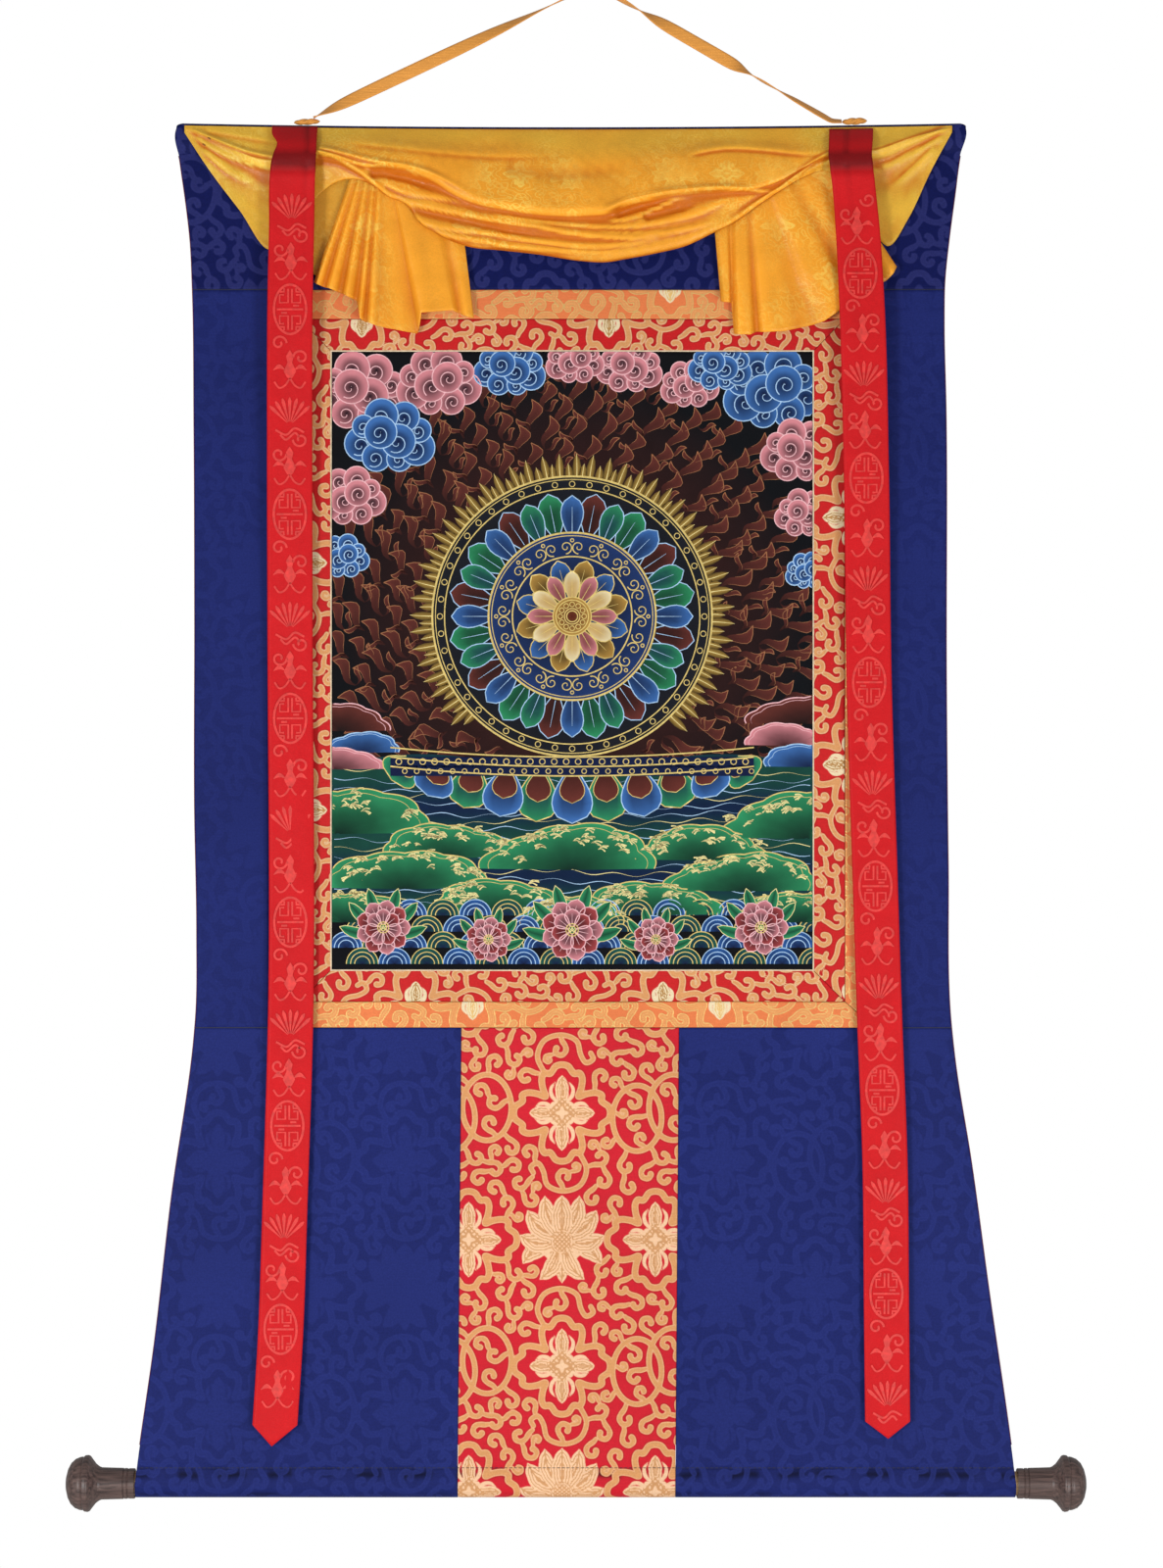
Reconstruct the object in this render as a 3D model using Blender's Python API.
"""A thangka scroll painting as it hangs: a painted canvas in brocade borders, navy side and lower
panels, a red door panel, a silk veil, two ribbons, a dowel with turned knobs and a hanging tape.

Everything is worked out in millimetres, in the cloth's own coordinates: x from the cloth's centre
line to the right, depth below its top edge, and forward, which is how far a thing stands in front
of the middle of a panel. place() turns them to world metres: the front faces -Y, +Z is up, and the
origin is the point of the hook that the tape hangs over.
"""

import bpy
import numpy as np

for thing in list(bpy.data.objects):
    bpy.data.objects.remove(thing, do_unlink=True)

MM = 0.001
CREASE_ANGLE = 40.0  # degrees, past which an edge is shaded sharp
GAP = 0.3  # between pieces that touch
BACKING_GAP = 0.6  # to the panels in front of it

# The cloth
CENTRE_X = -18.9  # the cloth's centre line, from the hook
TOP_DROP = 113.0  # the cloth's top edge, below the hook
PANEL = 1.2  # thickness of the brocade panels and the canvas
BACKING = 1.0
VEIL = 1.5
RIBBON = 1.2
SAG = 3.3  # of the top edge, at its middle
HEADING_END = 139.4
LOWER_SEAM = 756.5
HEM_END = 24.0
BACKING_TOP = 27.0
BACKING_END = 1106.0
BACKING_PEEP = 0.8  # past the panels' side edges

# How the cloth stands forward of a flat sheet between its hem and its sleeve
BULGE = 2.2
FLUTES = ((1.5, 305, 0.7), (0.6, 230, -0.9))  # height, distance between two, phase in radians
FREE_OVER = 200.0  # below the hem, over which it leaves the flat sheet
FREE_END = 1100.0  # where it is back in it, above the sleeve

# Borders round the painting: low x, high x, low depth, high depth
OUTER = (-253.4, 253.4, HEADING_END, LOWER_SEAM)
INNER = (-228.0, 228.0, 164.0, 734.7)
PAINTING = (-201.7, 201.7, 190.7, 708.5)
# The door panel's side edges, at its top and at its bottom
DOOR_TOP = (-92.7, 89.4)
DOOR_BOTTOM = (-95.9, 86.4)

# The dowel and its sleeve
DOWEL_R = 10.0
DOWEL_DEPTH = 1140.0
SLEEVE_R = DOWEL_R + GAP + PANEL / 2  # of the middle of the sleeve's cloth
SLEEVE_LEAVES = 240.0  # degrees round the dowel from the front, where the flap leaves it
STITCH_DEPTH = 1122.0
FLAP_TOP = 1112.0
FLAP_TURN = 1.18  # lengthens the wall's offset where the flap turns up, so that it keeps its thickness
KNOB_LEFT = -367.0  # where each knob starts
KNOB_RIGHT = 373.4
SOCKET = 14.0  # how far the dowel goes into a knob

# Half width of the cloth: depth, half width
LEFT_EDGE = ((0, 326), (1.5, 329.5), (5, 331), (33, 327.9), (66, 323.2), (98, 319.5), (136, 317.6),
             (258, 316), (419, 315.4), (572, 315.5), (678, 313.7), (747, 314.6), (763, 315.9),
             (900, 335.1), (1019, 349.2), (1128, 364.7), (1141, 366.3))
RIGHT_EDGE = ((0, 324.5), (1.5, 328), (5, 329.2), (27, 324.6), (61, 320), (97, 315.2), (133, 311.5),
              (165, 310.9), (239, 312.4), (468, 312.7), (619, 314.2), (754, 316.8), (780, 319.6),
              (869, 333.7), (978, 348.8), (1100, 366.5), (1141, 371.8))

# The heading's section at its hem: depth, front, back, both from the cloth's middle
HEM_SECTION = ((0, 1.2, 1.2), (1, 2.3, 2.4), (3, 3.0, 3.2), (18, 3.0, 3.2), (HEM_END, 0.6, 0.6))

# Ribbons: depth, x of the left side, x of the right side, forward
RIBBON_LEFT = ((2, -250.5, -212.7, 6.4), (9, -250.2, -212.6, 12.5), (18, -245.4, -212.7, 19.0),
               (27, -248.0, -212.7, 22.6), (36, -250.4, -213.2, 22.4), (48, -251.6, -213.8, 20.2),
               (90, -252.2, -214.6, 18.6), (140, -253.3, -215.7, 17.6), (274, -254.2, -216.5, 12.0),
               (419, -254.2, -216.5, 8.0), (755, -254.0, -216.3, 6.5), (899, -258.4, -220.8, 6.0),
               (1019, -262.7, -225.0, 6.0), (1087, -267.0, -229.4, 6.0))
RIBBON_RIGHT = ((4, 214.6, 251.3, 6.6), (10, 214.2, 250.8, 12.5), (18, 213.6, 250.0, 18.6),
                (28, 213.0, 249.2, 22.2), (38, 214.2, 250.2, 22.2), (50, 215.8, 251.6, 20.4),
                (92, 219.2, 256.0, 18.8), (150, 222.0, 259.6, 17.8), (295, 226.2, 263.8, 12.0),
                (468, 228.8, 266.4, 8.0), (619, 233.5, 271.1, 6.5), (755, 237.9, 275.5, 6.5),
                (869, 242.2, 279.8, 6.0), (978, 243.4, 281.0, 6.0), (1084, 244.7, 282.3, 6.0))
RIBBON_TIPS = {"left": (-251.0, 1105.0), "right": (264.0, 1098.6)}

# The veil. Its top edge, the crest where its face turns under, its lower edge and the swell of its
# face, along x.
VEIL_TOP = 2.6
VEIL_ENDS = (-324.0, 317.5)
CREST = ((-325, 4.5), (-282, 24), (-252, 34), (-233, 31), (-212, 26), (-191, 30), (-178, 35),
         (-151, 36), (-134, 39), (-112, 48), (-101, 56), (-79, 66), (-57, 71), (-34, 75), (13, 76),
         (30, 74), (48, 66), (71, 61), (98, 57), (124, 56), (147, 55), (160, 53), (174, 48),
         (192, 38), (213, 27), (233, 27), (251, 25), (284, 13), (318, 4.5))
VEIL_EDGE = ((-325, 7), (-303, 40), (-278, 73), (-253, 106), (-233, 88), (-215, 63), (-182, 47),
             (-167, 52), (-153, 62), (-137, 70), (-127, 84), (-112, 94), (-88, 104), (-57, 108),
             (-24, 112), (7, 117), (28, 118), (46, 115), (71, 110), (97, 103), (115, 94), (135, 84),
             (156, 69), (174, 57), (192, 46), (214, 40), (233, 54), (251, 88), (263, 103), (281, 80),
             (300, 40), (318, 7))
SWELL = ((-325, 0.4), (-300, 3), (-270, 8), (-250, 11), (-233, 12), (-214, 12.5), (-180, 14),
         (-120, 17), (-60, 21), (0, 23), (30, 23), (90, 20), (140, 17), (190, 13.5), (214, 12.5),
         (233, 12), (252, 10), (282, 5), (318, 0.4))
# Its section: way down (0 the top edge, 1 the crest, 2 the lower edge), share of the swell
SWAG_SECTION = ((0, 0), (0.14, 0.2), (0.3, 0.42), (0.5, 0.68), (0.7, 0.88), (0.86, 0.98), (1, 0.96),
                (1.09, 0.7), (1.2, 0.8), (1.31, 0.8), (1.4, 0.57), (1.5, 0.68), (1.62, 0.68),
                (1.71, 0.5), (1.8, 0.6), (1.91, 0.6), (2, 0.5))
# The same on the wings, which lie nearly flat below the fold that runs to the corner
WING_SECTION = ((0, 0), (0.3, 0.25), (0.7, 0.7), (0.86, 0.9), (1, 0.95), (1.09, 0.55), (1.31, 0.3),
                (1.5, 0.2), (1.8, 0.12), (2, 0.09))
SWAG_SPAN = (-200.0, 205.0)  # between the wings
SWAG_BLEND = 55.0
# Hollows in its face: x, depth, half length, half width, slope, how deep
DENTS = ((-150, 47, 26, 9, 0.35, 3.5), (70, 71, 36, 9, -0.25, 4.5))
VEIL_REST = 4.5  # forward, on the hem
VEIL_HANG = 2.7  # forward, below the hem
# Tails: x and depth at the top, x and depth at the bottom, forward from the hollows of the pleats
LEFT_TAIL = ((-186, 46, -216, 133, 1), (-183, 45, -211, 136, 6), (-179, 44, -204, 137, 1.5),
             (-175, 43, -198, 140, 6.5), (-172, 42, -192, 141, 1.5), (-170, 42, -186, 145, 7),
             (-167, 42, -180, 148, 1.5), (-164, 42, -175, 165, 5), (-161, 43, -172, 167, 7.5),
             (-157, 45, -151, 173, 4), (-153, 47, -129, 177, 0.5), (-148, 50, -124, 165, 6),
             (-133, 56, -112, 159, 7.5), (-115, 66, -97, 159, 5), (-92, 82, -82, 164, 2))
RIGHT_TAIL = ((117, 66, 124, 150, 2), (124, 64, 129, 151, 5.5), (131, 62, 134, 151, 0.5),
              (134, 60, 137, 177, 6), (140, 58, 148, 178, 6), (147, 55, 156, 171, 1.5),
              (152, 52, 177, 175, 5), (157, 50, 198, 171, 2.5), (161, 48, 214, 166, 4.5),
              (166, 46, 224, 158, 7.5), (178, 40, 239, 141, 3.5), (198, 33, 262, 133, 3.5),
              (212, 30, 271, 121, 1.5))
TAIL_BASE = 5.2  # forward, at the hollows of the pleats
TAIL_HELD = 0.4  # the way down the veil's face where a tail starts
TAIL_SUNK = 0.6  # behind the middle of the face, where it starts
REAR_X = ((-222, -178), (-226, -194))  # of the rear layer's sides, at its top and at its bottom
REAR_DEPTH = ((18, 18), (124, 133))
REAR_HANG = 2.0

# Knobs: how far out from where a knob starts, radius
KNOB_PROFILE = ((0, 12.2), (0.6, 12.6), (5, 12.6), (5.5, 12.2), (6, 12.7), (8.6, 12.8), (9.1, 12.3),
                (9.7, 12.9), (28, 13.4), (30, 14.2), (33, 16.5), (36.5, 21), (38, 23), (39.5, 23.6),
                (42, 23.3), (43.3, 22.2), (44, 22.1), (46, 22), (50, 20.4), (53.5, 17.2), (56, 12.5),
                (57.6, 6.5))
KNOB_END = 58.0

# The tape hangs over the hook at the origin, in hook coordinates: x, height
TAPE_WIDE = 10.6
TAPE = 1.0
TAPE_LEFT_END = (-235.4, -108.2)
TAPE_PEAK = (0.0, 2.6 + TAPE / 2)  # where its two straight runs would meet
TAPE_BEND = (198.1, -111.0)
TAPE_RIGHT_END = (206.6, -111.3)
HOOK_CURVE = 20.0
BEND_CURVE = 9.0
TAPE_STEPS = 36  # along each straight run
# How it is turned: share of the way, degrees from flat to the viewer
TAPE_TURN = ((0, 88), (0.05, 30), (0.12, 3), (0.22, 0), (0.34, 35), (0.42, 72), (0.5, 90), (0.6, 88),
             (0.66, 20), (0.72, 5), (0.79, 12), (0.82, 68), (0.92, 62), (0.97, 58), (1, 66))
# Knots: x in the cloth's coordinates, half length, half height, half depth, height of the middle
KNOTS = {"left": (-222.0, 10.7, 2.7, 3.4, 3.0), "right": (236.3, 10.3, 3.0, 3.6, 3.3)}


def through(table, at, column=1):
    """Value at a place of a smooth line through a table's rows: cubic pieces, whose slope at a row
    is the mean of its two neighbours'."""
    rows = np.array(table, float)
    place_at, value = rows[:, 0], rows[:, column]
    slope = np.gradient(value, place_at)
    at = np.asarray(at, float)
    i = np.clip(np.searchsorted(place_at, at) - 1, 0, len(rows) - 2)
    wide = place_at[i + 1] - place_at[i]
    t = np.clip((at - place_at[i]) / wide, 0, 1)
    return (
        (1 + 2 * t) * (1 - t) ** 2 * value[i]
        + t * (1 - t) ** 2 * wide * slope[i]
        + t * t * (3 - 2 * t) * value[i + 1]
        + t * t * (t - 1) * wide * slope[i + 1]
    )


def straight(table, at, column=1):
    """Value at a place of the straight lines through a table's rows."""
    rows = np.array(table, float)
    return np.interp(at, rows[:, 0], rows[:, column])


def eased(t):
    """0 to 1, level at both ends."""
    t = np.clip(t, 0, 1)
    return t * t * (3 - 2 * t)


def billow(x, depth):
    """How far the cloth's middle stands forward between the hem and the sleeve: a slow bulge and two
    trains of soft upright flutes."""
    free = eased((depth - HEM_END) / FREE_OVER) * eased((FREE_END - depth) / FREE_OVER)
    low = 0.5 + 0.5 * np.clip(depth / LOWER_SEAM, 0, 1)
    flutes = sum(high * np.cos(2 * np.pi * x / apart + phase) for high, apart, phase in FLUTES)
    return free * (BULGE + low * flutes)


def place(x, depth, forward):
    """World metres. The top edge sags, and the sag dies out down the heading."""
    x, depth, forward = np.broadcast_arrays(x, depth, forward)
    sag = SAG * (1 - (x / 330) ** 2) * np.clip(1 - depth / HEADING_END, 0, 1)
    return np.stack([x + CENTRE_X, -forward, -TOP_DROP - depth - sag], axis=-1) * MM


def material(name, colour, roughness, metallic=0.0):
    made = bpy.data.materials.new(name)
    made.use_nodes = True
    shader = made.node_tree.nodes["Principled BSDF"]
    linear = [
        (c / 12.92 if c <= 0.04045 else ((c + 0.055) / 1.055) ** 2.4)
        for c in (int(colour[i : i + 2], 16) / 255 for i in (1, 3, 5))
    ]
    shader.inputs["Base Color"].default_value = (*linear, 1)
    shader.inputs["Roughness"].default_value = roughness
    shader.inputs["Metallic"].default_value = metallic
    return made


NAVY = material("navy_brocade", "#1f2a73", 0.6)
RED = material("red_brocade", "#c42a2c", 0.55)
ORANGE = material("orange_brocade", "#e8854f", 0.55)
CANVAS = material("painted_canvas", "#1c2226", 0.7)
MAROON = material("maroon_backing", "#731e37", 0.8)
SATIN = material("veil_satin", "#f5a523", 0.35)
DAMASK = material("ribbon_damask", "#cc2028", 0.4)
DARK_WOOD = material("dark_turned_wood", "#4a3a38", 0.45)
PALE_WOOD = material("pale_dowel_wood", "#d9b98a", 0.6)
TAPE_CLOTH = material("cotton_tape", "#daa05c", 0.75)


def add(name, points, faces, finish):
    mesh = bpy.data.meshes.new(name)
    mesh.from_pydata(points.reshape(-1, 3).tolist(), [], faces)
    mesh.materials.append(finish)
    mesh.shade_smooth()
    mesh.set_sharp_from_angle(angle=np.radians(CREASE_ANGLE))
    made = bpy.data.objects.new(name, mesh)
    bpy.context.scene.collection.objects.link(made)
    return made


def slab(name, front, back, finish):
    """A closed solid between two grids of points, row by row from the top and left to right."""
    rows, columns = front.shape[:2]
    behind = rows * columns
    index = np.arange(behind).reshape(rows, columns)
    a, b = index[:-1, :-1].ravel(), index[:-1, 1:].ravel()
    c, d = index[1:, 1:].ravel(), index[1:, :-1].ravel()
    ring = np.concatenate([index[:, 0], index[-1, 1:], index[-2::-1, -1], index[0, -2:0:-1]])
    after = np.roll(ring, -1)
    faces = np.concatenate([
        np.stack([a, d, c, b], axis=1),
        np.stack([a, b, c, d], axis=1) + behind,
        np.stack([after, ring, ring + behind, after + behind], axis=1),
    ])
    return add(name, np.concatenate([front.reshape(-1, 3), back.reshape(-1, 3)]), faces.tolist(), finish)


def between(low, high, count):
    """A grid whose rows run from an array of low values to one of high values."""
    share = np.linspace(0, 1, count)
    return np.asarray(low)[:, None] * (1 - share) + np.asarray(high)[:, None] * share


def panel(name, x, depth, finish):
    """A panel of even thickness on the billowing cloth."""
    middle = billow(x, depth)
    slab(name, place(x, depth, middle + PANEL / 2), place(x, depth, middle - PANEL / 2), finish)


def left_edge(depth):
    return -through(LEFT_EDGE, depth)


def right_edge(depth):
    return through(RIGHT_EDGE, depth)


def heading_panel():
    depth = np.array([0, 1, 3, 10.5, 18, HEM_END, 45, 75, 105, HEADING_END - GAP / 2])
    x = between(left_edge(depth), right_edge(depth), 17)
    depth = np.broadcast_to(depth[:, None], x.shape)
    middle = billow(x, depth)
    front = middle + straight(HEM_SECTION, depth, 1)
    back = middle - straight(HEM_SECTION, depth, 2)
    slab("heading_panel", place(x, depth, front), place(x, depth, back), NAVY)


def side_panels():
    depth = np.linspace(HEADING_END + GAP / 2, LOWER_SEAM - GAP / 2, 16)
    level = np.broadcast_to(depth[:, None], (len(depth), 4))
    inside = np.full(len(depth), OUTER[1] + GAP / 2)
    panel("side_panel_left", between(left_edge(depth), -inside, 4), level, NAVY)
    panel("side_panel_right", between(inside, right_edge(depth), 4), level, NAVY)


def four_cornered(name, corners, rows, columns, finish):
    """A straight-sided panel from its corners: top left, top right, bottom right, bottom left."""
    (ax, ad), (bx, bd), (cx, cd), (dx, dd) = corners
    down = np.linspace(0, 1, rows)
    x = between(ax + (dx - ax) * down, bx + (cx - bx) * down, columns)
    depth = between(ad + (dd - ad) * down, bd + (cd - bd) * down, columns)
    panel(name, x, depth, finish)


def border(prefix, outside, inside, finish):
    """Four strips whose ends are mitred, a small gap apart."""
    x0, x1, d0, d1 = np.array(outside) + np.array([1, -1, 1, -1]) * GAP / 2
    u0, u1, e0, e1 = np.array(inside) - np.array([1, -1, 1, -1]) * GAP / 2
    m = GAP * 0.75  # each strip stops this much short of the mitre
    strips = {
        "_top": ((x0 + m, d0), (x1 - m, d0), (u1 - m, e0), (u0 + m, e0)),
        "_bottom": ((u0 + m, e1), (u1 - m, e1), (x1 - m, d1), (x0 + m, d1)),
        "_left": ((x0, d0 + m), (u0, e0 + m), (u0, e1 - m), (x0, d1 - m)),
        "_right": ((u1, e0 + m), (x1, d0 + m), (x1, d1 - m), (u1, e1 - m)),
    }
    across, along = 3, 12
    for side, corners in strips.items():
        rows, columns = (across, along) if side in ("_top", "_bottom") else (along, across)
        four_cornered(prefix + side, corners, rows, columns, finish)


def painted_canvas():
    x0, x1, d0, d1 = np.array(PAINTING) + np.array([1, -1, 1, -1]) * GAP / 2
    four_cornered("painted_canvas", ((x0, d0), (x1, d0), (x1, d1), (x0, d1)), 12, 10, CANVAS)


def sleeve_line():
    """The middle of a lower panel's cloth as (depth, back) rows: straight down, round the dowel, and
    up as a flap to the stitches."""
    hanging = np.linspace(LOWER_SEAM + GAP / 2, STITCH_DEPTH - 16, 10)
    near = np.array([FLAP_TOP, STITCH_DEPTH, (STITCH_DEPTH + DOWEL_DEPTH) / 2])
    depth = np.concatenate([hanging, near])
    angle = np.radians(np.linspace(0, SLEEVE_LEAVES, 17))
    around = np.stack([DOWEL_DEPTH + SLEEVE_R * np.sin(angle), SLEEVE_R * (1 - np.cos(angle))], axis=1)
    flap_back = PANEL + GAP
    flap = np.array([[STITCH_DEPTH, flap_back], [FLAP_TOP, flap_back]])
    return np.concatenate([np.stack([depth, depth * 0], axis=1), around, flap])


def sleeve_panel(name, left, right, columns, finish):
    line = sleeve_line()
    way = np.gradient(line, axis=0)
    way /= np.linalg.norm(way, axis=1)[:, None]
    turn = np.ones(len(line))
    turn[-2] = FLAP_TURN
    reach = np.minimum(np.maximum.accumulate(line[:, 0]), DOWEL_DEPTH)
    x = between(left(reach), right(reach), columns)
    sides = []
    for sign in (1, -1):
        depth = line[:, 0] + sign * way[:, 1] * turn * PANEL / 2
        back = line[:, 1] - sign * way[:, 0] * turn * PANEL / 2
        depth = np.broadcast_to(depth[:, None], x.shape)
        sides.append(place(x, depth, billow(x, line[:, :1]) - back[:, None]))
    slab(name, *sides, finish)


def door_side(side):
    return lambda depth: np.interp(depth, (LOWER_SEAM, DOWEL_DEPTH), (DOOR_TOP[side], DOOR_BOTTOM[side]))


def lower_panels():
    door_left, door_right = door_side(0), door_side(1)
    sleeve_panel("lower_panel_left", left_edge, lambda d: door_left(d) - GAP / 2, 9, NAVY)
    sleeve_panel("lower_panel_right", lambda d: door_right(d) + GAP / 2, right_edge, 9, NAVY)
    sleeve_panel("door_panel", lambda d: door_left(d) + GAP / 2, lambda d: door_right(d) - GAP / 2, 6, RED)


def backing_cloth():
    depth = np.concatenate([[BACKING_TOP], np.linspace(60, BACKING_END, 25)])
    x = between(left_edge(depth) - BACKING_PEEP, right_edge(depth) + BACKING_PEEP, 17)
    depth = np.broadcast_to(depth[:, None], x.shape)
    front = billow(x, depth) - PANEL / 2 - BACKING_GAP
    slab("backing_cloth", place(x, depth, front), place(x, depth, front - BACKING), MAROON)


def thickened(x, depth, forward, thick):
    """Front and back of a sheet, set off along Y by more where the sheet is steep, so that it keeps its
    thickness."""
    dx_r, dx_c = np.gradient(x)
    dd_r, dd_c = np.gradient(depth)
    df_r, df_c = np.gradient(forward)
    area = np.abs(dx_c * dd_r - dx_r * dd_c) + 1e-6
    steep = np.hypot(df_r * dd_c - dd_r * df_c, dx_r * df_c - df_r * dx_c) / area
    half = thick / 2 * np.minimum(np.sqrt(1 + steep**2), 1.9)
    return forward + half, forward - half


def veil_ground(depth):
    """Forward of the veil where it lies on what is behind it: on the hem, then on the panels."""
    return VEIL_HANG + (VEIL_REST - VEIL_HANG) * (1 - eased((depth - HEM_END) / 30))


def drape_forward(x, way, depth):
    """Forward of the veil's face: its rest plus the swell at x by the share that the section gives."""
    wing = eased((SWAG_SPAN[0] + SWAG_BLEND / 2 - x) / SWAG_BLEND) + eased(
        (x - SWAG_SPAN[1] + SWAG_BLEND / 2) / SWAG_BLEND
    )
    share = straight(SWAG_SECTION, way) * (1 - wing) + straight(WING_SECTION, way) * wing
    forward = veil_ground(depth) + through(SWELL, x) * share
    for at, deep_at, long, wide, slope, deep in DENTS:
        off = depth - deep_at - slope * (x - at)
        forward = forward - deep * np.exp(-(((x - at) / long) ** 2)) * np.exp(-((off / wide) ** 2))
    return forward


def drape_grid(columns, ways):
    x = np.linspace(*VEIL_ENDS, columns)
    crest, edge = through(CREST, x), through(VEIL_EDGE, x)
    edge = np.maximum(edge, crest + 1.5)
    ways = np.asarray(ways)[:, None]
    face, under = np.minimum(ways, 1), np.maximum(ways - 1, 0)
    depth = VEIL_TOP + (crest - VEIL_TOP) * face + (edge - crest) * under
    x = np.broadcast_to(x, depth.shape)
    return x, depth, drape_forward(x, ways, depth)


def falling(x, depth, hang, fall):
    """Forward of a sheet whose top row is held inside the drape's face, and which falls back from it to
    its own hang."""
    crest = through(CREST, x)
    way = np.clip((depth - VEIL_TOP) / (crest - VEIL_TOP), 0, 1)
    held = drape_forward(x, way, depth) - TAIL_SUNK
    return held * (1 - fall) + hang * fall


def tail_grid(table, columns):
    """A fan of pleats. Each column comes down from the drape's face to its place at the top, then runs
    straight to its place at the bottom, and the pleats deepen on the way."""
    table = np.array(table, float)
    stations = np.linspace(0, len(table) - 1, columns)
    top_x, top, bottom_x, bottom, pleat = (
        np.interp(stations, np.arange(len(table)), table[:, k]) for k in range(5)
    )
    held_at = VEIL_TOP + TAIL_HELD * (through(CREST, top_x) - VEIL_TOP)
    hidden = np.array([0, 0.3, 0.62])[:, None]
    down = np.linspace(0, 1, 7)[:, None]
    x = np.concatenate([top_x + 0 * hidden, top_x + (bottom_x - top_x) * down])
    depth = np.concatenate([held_at + (top - held_at) * hidden, top + (bottom - top) * down])
    open_out = np.concatenate([0 * hidden, down])
    hang = TAIL_BASE + pleat * (0.2 + 0.8 * open_out)
    fall = np.concatenate([[[0], [0.75], [1]], 1 + 0 * down])
    return x, depth, falling(x, depth, hang, fall)


def rear_grid():
    """A flat layer that hangs from the drape's face behind the left tail."""
    down, over = np.linspace(0, 1, 7)[:, None], np.linspace(0, 1, 5)

    def filled(corners):
        (a, b), (c, d) = corners
        return (a + (b - a) * over) * (1 - down) + (c + (d - c) * over) * down

    x, depth = filled(REAR_X), filled(REAR_DEPTH)
    return x, depth, falling(x, depth, REAR_HANG, eased(down / 0.15))


def veil_sheet(name, grid):
    x, depth, forward = grid
    front, back = thickened(x, depth, forward, VEIL)
    ground = billow(x, depth)
    return slab(name, place(x, depth, front + ground), place(x, depth, back + ground), SATIN)


def silk_veil():
    ways = [row[0] for row in SWAG_SECTION]
    veil = veil_sheet("silk_veil", drape_grid(48, ways))
    others = (("veil_tail_left", tail_grid(LEFT_TAIL, 29)), ("veil_tail_right", tail_grid(RIGHT_TAIL, 25)),
              ("veil_rear", rear_grid()))
    for name, grid in others:
        joined = veil_sheet(name, grid)
        joined.hide_render = True
        joined.display_type = "WIRE"
        union = veil.modifiers.new(name, "BOOLEAN")
        union.operation = "UNION"
        union.solver = "EXACT"
        union.object = joined


def ribbon(side, table, tip):
    """A flat ribbon that falls over the gathered veil, then hangs in front of the panels to a point."""
    rows = np.array(table, float)
    depth = np.concatenate([rows[:6, 0], np.linspace(rows[6, 0], rows[-1, 0], 22)])
    low, high, forward = (through(table, depth, k) for k in (1, 2, 3))
    columns = 3
    x = between(low, high, columns)
    depth = np.repeat(depth[:, None], columns, axis=1)
    forward = np.repeat(forward[:, None], columns, axis=1)
    # The point: the last row comes down to the tip at its middle.
    over = np.linspace(-1, 1, columns)
    last_x = tip[0] + over * (high[-1] - low[-1]) / 2
    x = np.concatenate([x, last_x[None]])
    depth = np.concatenate([depth, depth[-1:] + (tip[1] - rows[-1, 0]) * (1 - np.abs(over)) + 1.0])
    forward = np.concatenate([forward, forward[-1:]]) + billow(x, depth)
    front, back = (place(x, depth, forward + way * RIBBON / 2) for way in (1, -1))
    slab("ribbon_" + side, front, back, DAMASK)


def turned(name, profile, out, start, finish, sides=26):
    """A closed solid turned about the dowel's axis: (distance out, radius) rows from the axis to the
    axis, out being 1 to the right or -1 to the left."""
    angle = np.linspace(0, 2 * np.pi, sides, endpoint=False)
    along, radius = np.array(profile[1:-1], float).T
    ring = np.stack([
        np.broadcast_to(start + out * along[:, None], (len(along), sides)),
        radius[:, None] * np.cos(angle),
        radius[:, None] * np.sin(angle),
    ], axis=-1)
    ends = np.array([[start + out * profile[0][0], 0, 0], [start + out * profile[-1][0], 0, 0]])
    points = np.concatenate([ring.reshape(-1, 3), ends])
    x, across, up = points.T
    points = place(x, DOWEL_DEPTH - up, across - SLEEVE_R)
    index = np.arange(len(along) * sides).reshape(len(along), sides)
    following = np.roll(index, -1, axis=1)
    walls = np.stack([index[:-1], following[:-1], following[1:], index[1:]], axis=-1).reshape(-1, 4).tolist()
    first, last = len(along) * sides, len(along) * sides + 1
    caps = [[first, b, a] for a, b in zip(index[0], following[0])]
    caps += [[last, a, b] for a, b in zip(index[-1], following[-1])]
    faces = [list(map(int, face)) for face in walls + caps]
    if out > 0:
        faces = [face[::-1] for face in faces]
    add(name, points, faces, finish)


def dowel_and_knobs():
    left, right = KNOB_LEFT - SOCKET, KNOB_RIGHT + SOCKET
    long = right - left
    chamfer = DOWEL_R - 1
    stick = ((0, 0), (0, chamfer), (1, DOWEL_R), (long - 1, DOWEL_R), (long, chamfer), (long, 0))
    turned("bottom_dowel", stick, 1, left, PALE_WOOD)
    bore = DOWEL_R + GAP
    deep = SOCKET + GAP
    profile = ((deep, 0), (deep, bore), (0, bore), *KNOB_PROFILE, (KNOB_END, 0))
    turned("knob_left", profile, -1, KNOB_LEFT, DARK_WOOD)
    turned("knob_right", profile, 1, KNOB_RIGHT, DARK_WOOD)


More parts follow.
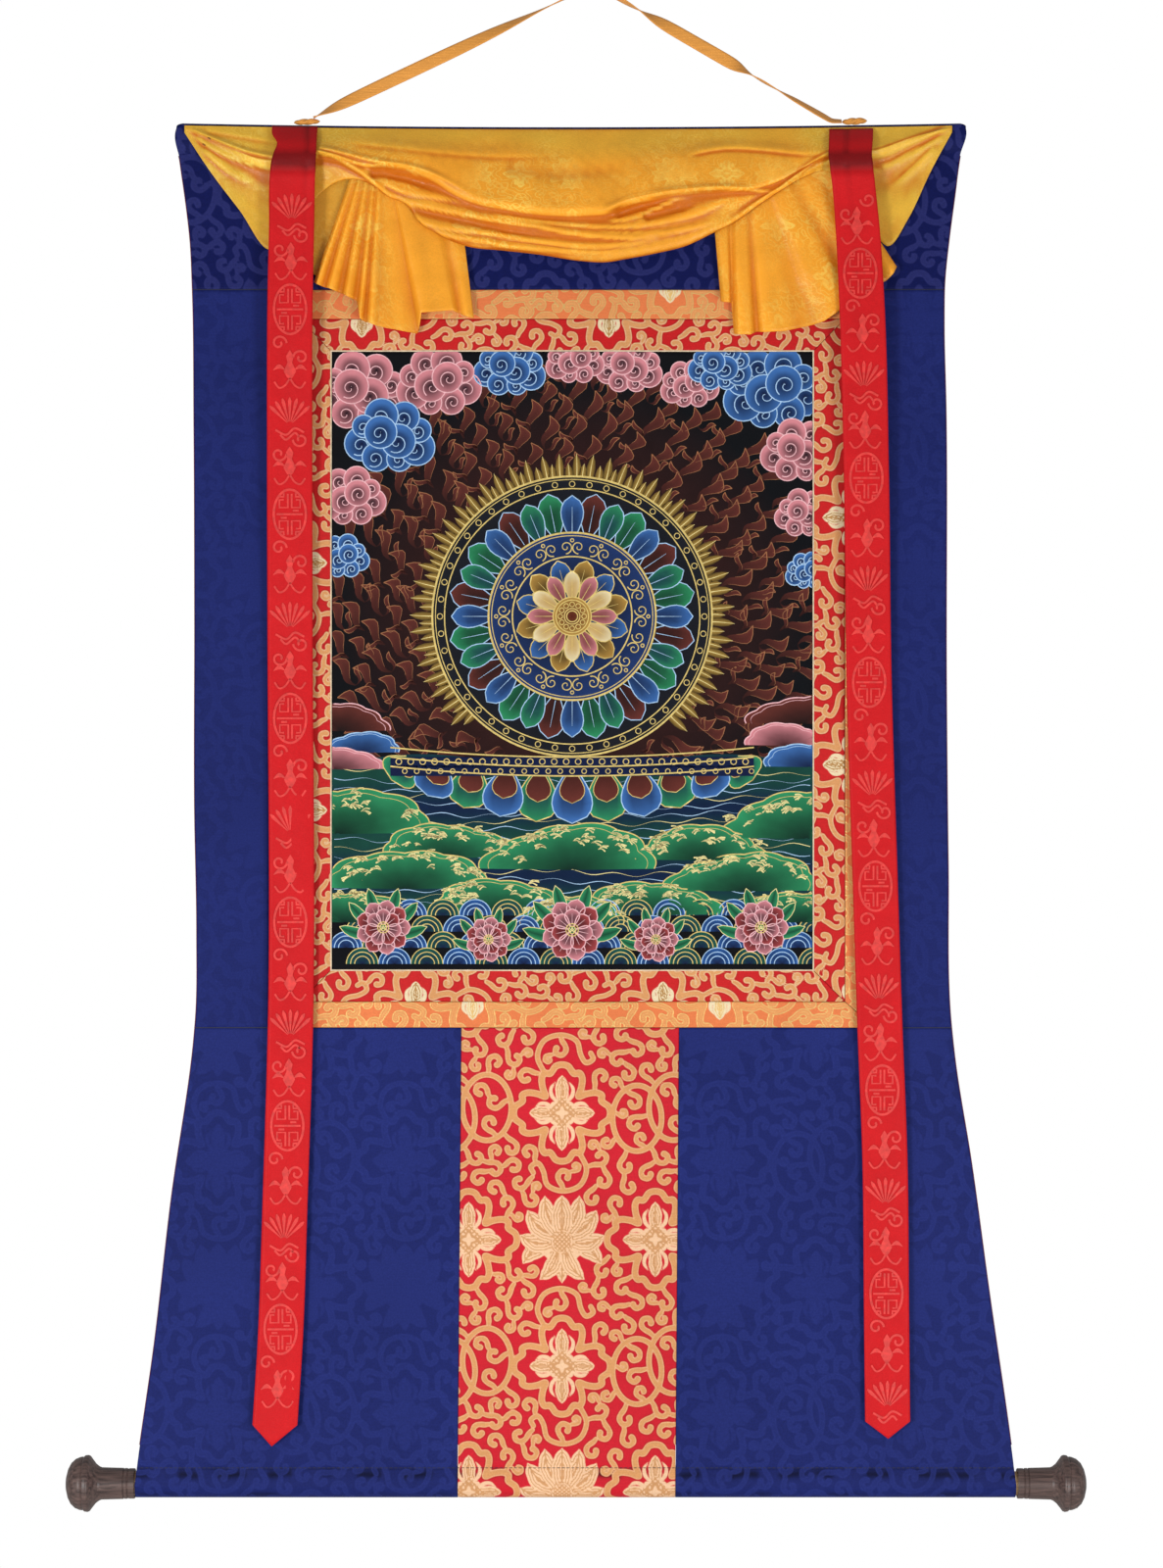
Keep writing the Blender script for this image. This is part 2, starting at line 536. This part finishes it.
def rounded(a, corner, b, radius, count):
    """Points of the arc that rounds off the corner between two straight runs."""
    a, corner, b = (np.array(p, float) for p in (a, corner, b))
    to_a, to_b = (a - corner) / np.linalg.norm(a - corner), (b - corner) / np.linalg.norm(b - corner)
    half = np.arccos(np.clip(to_a @ to_b, -1, 1)) / 2
    middle = corner + (to_a + to_b) / np.linalg.norm(to_a + to_b) * radius / np.sin(half)
    start, end = corner + to_a * radius / np.tan(half), corner + to_b * radius / np.tan(half)
    turn = np.linspace(0, 1, count)[:, None]
    rays = (start - middle) * (1 - turn) + (end - middle) * turn
    return middle + rays / np.linalg.norm(rays, axis=1)[:, None] * radius


def tape_path():
    peak = rounded(TAPE_LEFT_END, TAPE_PEAK, TAPE_BEND, HOOK_CURVE, 7)
    bend = rounded(TAPE_PEAK, TAPE_BEND, TAPE_RIGHT_END, BEND_CURVE, 3)
    left_run = np.linspace(TAPE_LEFT_END, peak[0], TAPE_STEPS)[:-1]
    right_run = np.linspace(peak[-1], bend[0], TAPE_STEPS)[1:-1]
    return np.concatenate([left_run, peak, right_run, bend, [TAPE_RIGHT_END]])


def hanging_tape():
    """A flat band along the path, turned about it as the table says, its ends closed."""
    path = tape_path()
    step = np.linalg.norm(np.diff(path, axis=0), axis=1)
    share = np.concatenate([[0], np.cumsum(step)]) / step.sum()
    way = np.gradient(path, axis=0)
    way /= np.linalg.norm(way, axis=1)[:, None]
    flat = np.stack([-way[:, 1], 0 * share, way[:, 0]], axis=1)
    back = np.array([0, 1.0, 0])
    turn = np.radians(through(TAPE_TURN, share))[:, None]
    wide = flat * np.cos(turn) + back * np.sin(turn)
    thin = back * np.cos(turn) - flat * np.sin(turn)
    centre = np.stack([path[:, 0], 0 * share, path[:, 1]], axis=1)
    corners = [(1, 1), (-1, 1), (-1, -1), (1, -1)]
    rings = np.stack([centre + wide * a * TAPE_WIDE / 2 + thin * b * TAPE / 2 for a, b in corners], axis=1)
    index = np.arange(len(path) * 4).reshape(-1, 4)
    following = np.roll(index, -1, axis=1)
    walls = np.stack([index[:-1], index[1:], following[1:], following[:-1]], axis=-1)
    # The front and the back are cut along the same diagonals, so that the twisted band keeps its thickness.
    front, back = walls[:, :2], walls[:, 2:]
    cut = [front[..., [0, 1, 2]], front[..., [0, 2, 3]], back[..., [0, 1, 3]], back[..., [1, 2, 3]]]
    faces = np.concatenate(cut).reshape(-1, 3).tolist()
    faces += [index[0].tolist(), index[-1][::-1].tolist()]
    add("hanging_tape", rings * MM, faces, TAPE_CLOTH)


def tape_knot(side, sides=14, rings=7):
    """A knot drawn tight on the top edge: a flattened ball with the turns of the tape raised on it."""
    x, long, tall, deep, high = KNOTS[side]
    sag = SAG * (1 - (x / 330) ** 2)
    around = np.linspace(0, 2 * np.pi, sides, endpoint=False)
    over = np.linspace(0, np.pi, rings + 2)[1:-1, None]
    bulge = 1 - 0.09 * (1 - np.cos(3 * around + 2.4 * over))
    points = np.stack([
        long * np.cos(over) * np.ones(sides),
        deep * np.sin(over) * np.cos(around) * bulge,
        tall * np.sin(over) * np.sin(around) * bulge,
    ], axis=-1).reshape(-1, 3)
    points = np.concatenate([points, [[long, 0, 0], [-long, 0, 0]]])
    points += [x + CENTRE_X, 0, high - TOP_DROP - sag]
    index = np.arange(rings * sides).reshape(rings, sides)
    following = np.roll(index, -1, axis=1)
    faces = np.stack([index[:-1], index[1:], following[1:], following[:-1]], axis=-1).reshape(-1, 4).tolist()
    faces += [[rings * sides, int(a), int(b)] for a, b in zip(index[0], following[0])]
    faces += [[rings * sides + 1, int(b), int(a)] for a, b in zip(index[-1], following[-1])]
    add("tape_knot_" + side, points * MM, faces, TAPE_CLOTH)


heading_panel()
side_panels()
border("outer_border", OUTER, INNER, ORANGE)
border("inner_border", INNER, PAINTING, RED)
painted_canvas()
lower_panels()
backing_cloth()
silk_veil()
ribbon("left", RIBBON_LEFT, RIBBON_TIPS["left"])
ribbon("right", RIBBON_RIGHT, RIBBON_TIPS["right"])
dowel_and_knobs()
hanging_tape()
tape_knot("left")
tape_knot("right")
